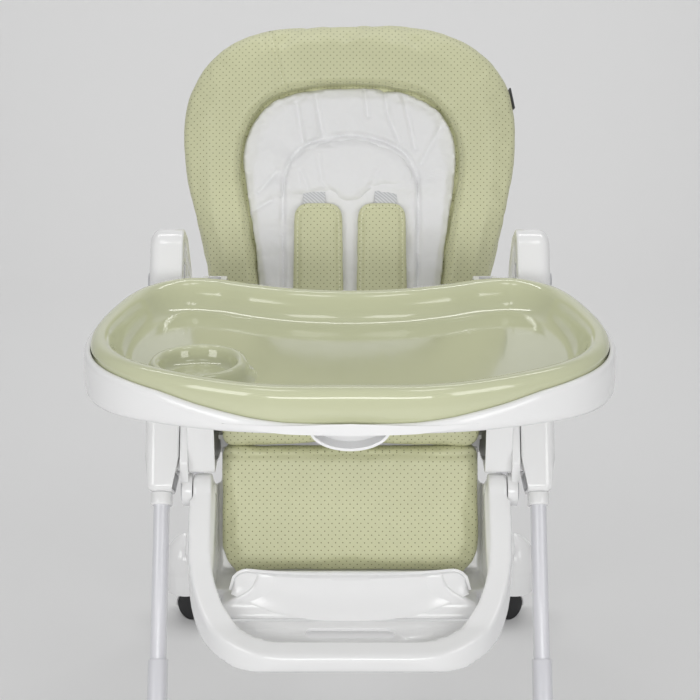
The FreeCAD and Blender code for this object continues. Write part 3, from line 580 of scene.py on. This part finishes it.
tape("upper_harness_tape", [(-61.5, 215), (-61.5, 226), (-59, 236), (-56, 246)],
     {"centres": (-44, 44), "size": 27}, 1.6 * mm, backTurn, backWebbing, "backrest",
     ("shoulder_straps",))
tape("lower_harness_tape", [(-61.5, 90), (-60.5, 76), (-58, 60)],
     {"centres": (-39, 39), "size": 27}, 1.6 * mm, backTurn, backWebbing, "backrest")

tag = {"size": (2.2, 15, 26), "place": (201.5, -36, 354)}
bm = bmesh.new()
bmesh.ops.create_cube(bm, size=1.0)
bmesh.ops.scale(bm, vec=[value * mm for value in tag["size"]], verts=bm.verts)
bmesh.ops.bevel(bm, geom=bm.edges[:], offset=0.7 * mm, offset_type="OFFSET", segments=3, profile=0.5,
                affect="EDGES", material=-1)
bmesh.ops.rotate(bm, matrix=Matrix.Rotation(math.radians(-12), 3, "Y"), verts=bm.verts)
bmesh.ops.translate(bm, vec=[value * mm for value in tag["place"]], verts=bm.verts)
bmesh.ops.transform(bm, matrix=backTurn, verts=bm.verts)
# woven satin label: dark and matt, nothing on it
labelCloth = makeThread("woven dark label", "#3A3B3E")
finishPiece(bm, "side_label", labelCloth, "backrest")
print("harness made")

tray = {"steps": 5 * mm,
        "outline": [(0, -401), (92, -396), (190, -352), (239, -303), (256, -240), (248, -165), (226, -97),
                    (184, -61), (140, -65), (95, -85), (50, -99), (0, -104)],
        "split": [(0, 627), (60, 629), (92, 632), (140, 638), (176, 644), (215, 647), (262, 648)],
        "under": [(0, 621), (90, 618), (176, 612), (256, 604), (262, 603)],
        "cup": (-146, -292), "cupRadius": 36}


def heightAt(table, across):
    across = abs(across)
    for (a, low), (b, high) in zip(table, table[1:]):
        if across <= b:
            t = (across - a) / (b - a)
            return low + (high - low) * t
    return table[-1][1]


outline = tray["outline"] + [(-a, b) for a, b in reversed(tray["outline"][1:-1])]
trayLoop = smoothPath([(a * mm, b * mm, 0) for a, b in outline], tray["steps"], True)


def loopNormals(loop):
    result = []
    for i in range(len(loop)):
        along = (loop[(i + 1) % len(loop)] - loop[i - 1]).normalized()
        result.append(Vector((along.y, -along.x, 0)))
    return result


trayNormals = loopNormals(trayLoop)


# rings of the tray outline, each grown by a distance and set at a height that may vary across
def ringStack(rings, clamp=None):
    bm = bmesh.new()
    first = bmesh.ops.create_circle(bm, cap_ends=False, segments=len(trayLoop), radius=0.1)["verts"]
    builtRings = [first]
    edges = bm.edges[:]
    for ring in rings[1:]:
        grown = bmesh.ops.extrude_edge_only(bm, edges=edges)["geom"]
        edges = [g for g in grown if isinstance(g, bmesh.types.BMEdge)]
        fresh = {v for v in grown if isinstance(v, bmesh.types.BMVert)}
        ordered = []
        for vertex in builtRings[-1]:
            ordered.append(next(edge.other_vert(vertex) for edge in vertex.link_edges
                                if edge.other_vert(vertex) in fresh))
        builtRings.append(ordered)
    for ring, verts in zip(rings, builtRings):
        grow, height = ring
        for vertex, spot, normal in zip(verts, trayLoop, trayNormals):
            place = spot + normal * grow * mm
            level = height(spot.x / mm) * mm if callable(height) else height * mm
            if clamp:
                place.y = clamp(place, level)
            vertex.co = (place.x, place.y, level)
    for verts in (builtRings[0], builtRings[-1]):
        bmesh.ops.contextual_create(bm, geom=verts)
    bmesh.ops.recalc_face_normals(bm, faces=bm.faces)
    return bm


def splitAt(drop):
    return lambda across: heightAt(tray["split"], across) + drop


def underAt(rise):
    return lambda across: heightAt(tray["under"], across) + rise


def skirtAt(across):
    return max(625.4, heightAt(tray["split"], across) - 6)


topRings = [(-40, 628), (-26.5, 635.5), (-22, 643), (-18.5, 650.5), (-14, 654.5), (-9, 654), (-5, 650),
            (-3, splitAt(3.2)), (-2.6, skirtAt), (-0.6, skirtAt), (0, splitAt(-1.0)), (0.2, splitAt(3)),
            (0.5, 651), (-0.4, 654.2), (-2.8, 657.6), (-6.4, 659.7), (-10.5, 660.2), (-14.6, 659.2),
            (-18, 656.6), (-20.6, 652.6), (-23, 647), (-26, 641.2), (-30, 636.2), (-35, 632.8), (-41, 631.2),
            (-48, 631)]
bm = ringStack(topRings)
cupX, cupY = tray["cup"]
cupRadius = tray["cupRadius"]
# across from the cup's wall, height
cupCurve = [(-12, 633), (-5, 634), (-1.5, 637), (0, 641), (1, 645), (3, 648), (6, 649), (9, 648),
            (11.5, 644.5), (13.5, 639), (16, 634), (20, 631.4), (22, 629.4)]
cupProfile = [(0, 633)] + [(cupRadius + a, b) for a, b in cupCurve] + [(0, 629.4)]
spun = [bm.verts.new(((cupX + a) * mm, cupY * mm, b * mm)) for a, b in cupProfile]
line = [bm.edges.new(pair) for pair in zip(spun, spun[1:])]
bmesh.ops.spin(bm, geom=spun + line, cent=(cupX * mm, cupY * mm, 0), axis=(0, 0, 1), dvec=(0, 0, 0),
                     angle=math.tau, steps=72, use_merge=True, use_duplicate=False)
bmesh.ops.remove_doubles(bm, verts=bm.verts, dist=0.00002)
bmesh.ops.recalc_face_normals(bm, faces=bm.faces)
finishPiece(bm, "tray_insert_bowl", greenAbs, "tray_insert", ("tray_top",), 50)


# the lobes of the tray stay clear of the two leg housings
legs = {"lean": math.radians(31.3), "footY": -404.4, "footZ": 12.5, "gap": 40,
        "innerX": 160 * mm, "fade": 18 * mm}


def clearOfLegs(place, level):
    front = (legs["footY"] + (level / mm - legs["footZ"]) * math.tan(legs["lean"])
             - legs["gap"] / math.cos(legs["lean"])) * mm
    share = min(1.0, max(0.0, (abs(place.x) - legs["innerX"]) / legs["fade"]))
    return min(place.y, place.y + (front - place.y) * share) if place.y > front else place.y


baseRings = [(-60, 620.8), (2.0, 620.8), (2.0, underAt(1.5)), (3.4, underAt(0.2)), (5.6, underAt(1.0)),
             (7.2, underAt(4.0)), (7.8, underAt(9.0)), (7.6, splitAt(-9)), (7.0, splitAt(-4)),
             (5.8, splitAt(-1.4)), (4.2, splitAt(-0.3)), (1.8, splitAt(-0.1)), (0.9, splitAt(-0.4)),
             (0.7, splitAt(-1.2)), (0.7, 624.2), (-60, 624.2)]
bm = ringStack(baseRings, clearOfLegs)
railShapes = [((156.5, 168.5), (-131, 20), (588, 601)), ((159.5, 165.5), (-131, -84), (600, 623)),
              ((24, 30), (-372, -330), (609, 623)), ((20, 30), (-372, -330), (604, 610))]
for spanX, spanY, spanZ in railShapes:
    for sign in (-1, 1):
        cube = bmesh.ops.create_cube(bm, size=1.0)["verts"]
        spans = (spanX, spanY, spanZ)
        bmesh.ops.scale(bm, vec=[(b - a) * mm for a, b in spans], verts=cube)
        middle = [(a + b) / 2 * mm for a, b in spans]
        bmesh.ops.translate(bm, vec=(middle[0] * sign, middle[1], middle[2]), verts=cube)
        edges = list({edge for vertex in cube for edge in vertex.link_edges})
        bmesh.ops.bevel(bm, geom=edges, offset=0.8 * mm, offset_type="OFFSET", segments=2, profile=0.5,
                        affect="EDGES", material=-1)
finishPiece(bm, "tray_base_shell", whiteAbs, "tray", ("tray_base",), 50)
print("tray made")


# hard parts keep their shape; sharp edges get the small radius that a mould or a file leaves
def hardCopy(node, width):
    slotName = slotOf(node)
    bm = mergedCopy(node)
    bmesh.ops.dissolve_limit(bm, angle_limit=math.radians(0.4), verts=bm.verts, edges=bm.edges)
    sharp = [edge for edge in bm.edges if len(edge.link_faces) == 2
             and edge.calc_face_angle() > math.radians(38)]
    if width and sharp:
        bmesh.ops.bevel(bm, geom=sharp, offset=width, offset_type="OFFSET", segments=2, profile=0.5,
                        affect="EDGES", material=-1, clamp_overlap=True)
    return finishPiece(bm, node + "_finished", slotLooks[slotName], bodyOf(node), (node,), 32)


footrest = finishPiece(mergedCopy("legrest_frame"), "footrest_frame_shell", whiteAbs, "legrest",
                       ("legrest_frame",))
remeshed(footrest, 2.0 * mm, 20)
# heel lip: rounded upper corners, a curved lower edge, and a top that turns forward; millimetres
scoop = {"halfWidth": 129, "top": 369.5, "bottom": 315.5, "front": -208.5, "corner": 0.84, "wall": 3,
         "cornerDrop": 26, "sideRise": 26, "slope": 9, "wrap": 14, "belly": 4, "turnFrom": 0.9, "turnOut": 5}
bm = bmesh.new()
grid = bmesh.ops.create_grid(bm, x_segments=60, y_segments=16, size=1.0)["verts"]
for vertex in grid:
    across, up = vertex.co.x, (vertex.co.y + 1) / 2
    rounded = max(0.0, (abs(across) - scoop["corner"]) / (1 - scoop["corner"]))
    top = scoop["top"] - scoop["cornerDrop"] * (1 - math.sqrt(max(0.0, 1 - min(1.0, rounded) ** 2)))
    low = scoop["bottom"] + scoop["sideRise"] * abs(across) ** 2.4
    z = low + (top - low) * up
    y = (scoop["front"] + scoop["slope"] * up ** 2 + scoop["wrap"] * abs(across) ** 3
         + scoop["belly"] * math.sin(up * math.pi))
    if up > scoop["turnFrom"]:
        y -= scoop["turnOut"] * (up - scoop["turnFrom"]) / (1 - scoop["turnFrom"])
    vertex.co = (across * scoop["halfWidth"] * mm, y * mm, z * mm)
bmesh.ops.recalc_face_normals(bm, faces=bm.faces)
bmesh.ops.solidify(bm, geom=bm.faces[:], thickness=scoop["wall"] * mm)
bmesh.ops.recalc_face_normals(bm, faces=bm.faces)
heel = finishPiece(bm, "footrest_heel_lip", whiteAbs, "legrest")
rounding = heel.modifiers.new("moulded edge", "BEVEL")
rounding.width = 1.2 * mm
rounding.segments = 3
rounding.limit_method = "ANGLE"
applied(heel)

dish = {"half": 37, "top": 619.5, "bottom": 598.5, "front": -397.5, "depth": 22, "rim": 2.6, "hollow": 17}
bm = bmesh.new()
ring = bmesh.ops.create_circle(bm, cap_ends=True, segments=64, radius=1.0)["verts"]
for vertex in ring:
    a, b = vertex.co.x, vertex.co.y
    vertex.co = (a * dish["half"] * mm, dish["front"] * mm,
                 (dish["top"] + b * (dish["top"] - dish["bottom"])) * mm)
bmesh.ops.bisect_plane(bm, geom=bm.verts[:] + bm.edges[:] + bm.faces[:], plane_co=(0, 0, dish["top"] * mm),
                       plane_no=(0, 0, 1), clear_outer=True)
bmesh.ops.solidify(bm, geom=bm.faces[:], thickness=dish["depth"] * mm)
bmesh.ops.recalc_face_normals(bm, faces=bm.faces)
low = min(vertex.co.y for vertex in bm.verts)
bmesh.ops.translate(bm, vec=(0, dish["front"] * mm - low, 0), verts=bm.verts)
face = min(bm.faces, key=lambda f: f.calc_center_median().y)
bmesh.ops.inset_individual(bm, faces=[face], thickness=dish["rim"] * mm)
inner = bmesh.ops.extrude_discrete_faces(bm, faces=[face])["faces"][0]
bmesh.ops.translate(bm, vec=(0, dish["hollow"] * mm, 0), verts=inner.verts)
hollow = {inner} | {f for edge in inner.edges for f in edge.link_faces}
for f in hollow:
    f.material_index = 1
release = finishPiece(bm, "tray_release_dish", whiteAbs, "tray_release", ("tray_handle",), 35)
release.data.materials.append(greyAbs)
pullBar = {"size": (38, 58, 6), "middle": (0, -347, 614), "edge": 1 * mm}
bm = bmesh.new()
bar = bmesh.ops.create_cube(bm, size=1.0)["verts"]
bmesh.ops.scale(bm, vec=[value * mm for value in pullBar["size"]], verts=bar)
bmesh.ops.translate(bm, vec=[value * mm for value in pullBar["middle"]], verts=bar)
bmesh.ops.bevel(bm, geom=bm.edges[:], offset=pullBar["edge"], offset_type="OFFSET", segments=2, profile=0.5,
                affect="EDGES", material=-1)
finishPiece(bm, "tray_release_bar", greyAbs, "tray_release")

replacedNodes = {"tray_handle", "back_cushion", "back_liner", "shoulder_pad_left", "shoulder_pad_right",
                 "seat_cushion", "seat_liner", "calf_pad", "shoulder_straps", "tray_top", "tray_base",
                 "legrest_frame"}
edgeWidths = {"painted tube": 0.5, "white plastic": 0.7, "grey plastic": 0.6, "webbing": 0.3,
              "zinc steel": 0.3, "wheel black": 0.5}
for entry in frame["record"]["subparts"]:
    if entry["node"] not in replacedNodes:
        hardCopy(entry["node"], edgeWidths[entry["material_slot"]] * mm)
print("hard parts finished")

# the sweep is a floor, a bend and a wall: the first two take these shares of its rows
room = {"floorSize": 6.0, "wallAt": 1.9, "bend": 0.9, "height": 4.0, "floorShare": 0.45, "bendShare": 0.25}
backdrop, tree, shader = startMaterial("studio paper", "#E4E4E4", 0.9)
mottle = addNode(tree, "ShaderNodeTexNoise", {"Scale": 3.0}, {"Vector": objectSpot(tree)})
bump = addNode(tree, "ShaderNodeBump", {"Strength": 0.02, "Distance": 1 * mm},
               {"Height": mottle.outputs["Fac"]})
tree.links.new(bump.outputs[0], shader.inputs["Normal"])
bm = bmesh.new()
bmesh.ops.create_grid(bm, x_segments=1, y_segments=48, size=1.0)
for vertex in bm.verts:
    along = (vertex.co.y + 1) / 2
    flat, bend = room["floorShare"], room["bendShare"]
    y, z = -room["floorSize"] / 2 + along / flat * (room["floorSize"] / 2 + room["wallAt"]), 0.0
    if along > flat:
        turn = min(1.0, (along - flat) / bend) * math.pi / 2
        y = room["wallAt"] + room["bend"] * math.sin(turn)
        z = room["bend"] * (1 - math.cos(turn))
        if along > flat + bend:
            z += (along - flat - bend) / (1 - flat - bend) * room["height"]
    vertex.co = (vertex.co.x * room["floorSize"], y, z)
bmesh.ops.recalc_face_normals(bm, faces=bm.faces)
mesh = bpy.data.meshes.new("studio_sweep")
bm.to_mesh(mesh)
bm.free()
sweep = bpy.data.objects.new("studio_sweep", mesh)
bpy.context.scene.collection.objects.link(sweep)
setMaterial(sweep, backdrop)
for polygon in mesh.polygons:
    polygon.use_smooth = True

world = bpy.data.worlds.new("studio fill")
world.use_nodes = True
world.node_tree.nodes["Background"].inputs["Color"].default_value = (1, 1, 1, 1)
world.node_tree.nodes["Background"].inputs["Strength"].default_value = 0.31
bpy.context.scene.world = world
softboxes = [("box left", (-1.5, -1.8, 1.3), (0, 0, 0.5), (0.9, 1.1), 10.8),
             ("box right", (1.5, -1.8, 1.3), (0, 0, 0.5), (0.9, 1.1), 9.8),
             ("box front", (0, -2.6, 0.9), (0, 0, 0.35), (1.6, 0.6), 16),
             ("top left", (-0.40, -0.62, 2.2), (-0.1, -0.2, 0.6), (0.5, 0.36), 1.7),
             ("top right", (0.40, -0.62, 2.2), (0.1, -0.2, 0.6), (0.5, 0.36), 1.7),
             ("backdrop wash", (0, 0.9, 2.8), (0, 2.7, 0.9), (3.0, 0.6), 39)]
for name, place, target, size, power in softboxes:
    light = bpy.data.lights.new(name, "AREA")
    light.shape = "RECTANGLE"
    light.size, light.size_y = size
    light.energy = power
    holder = bpy.data.objects.new(name, light)
    holder.location = place
    holder.rotation_euler = (Vector(target) - Vector(place)).to_track_quat("-Z", "Y").to_euler()
    bpy.context.scene.collection.objects.link(holder)

view = {"lens": 82.08, "sensor": 36, "place": (0, -1.730, 1.1815), "tilt": math.radians(70)}
camera = bpy.data.cameras.new("camera")
camera.lens = view["lens"]
camera.sensor_width = view["sensor"]
holder = bpy.data.objects.new("camera", camera)
holder.location = view["place"]
holder.rotation_euler = (view["tilt"], 0, 0)
bpy.context.scene.collection.objects.link(holder)
bpy.context.scene.camera = holder
bpy.context.scene.view_settings.view_transform = "Standard"
print("camera and lights set")
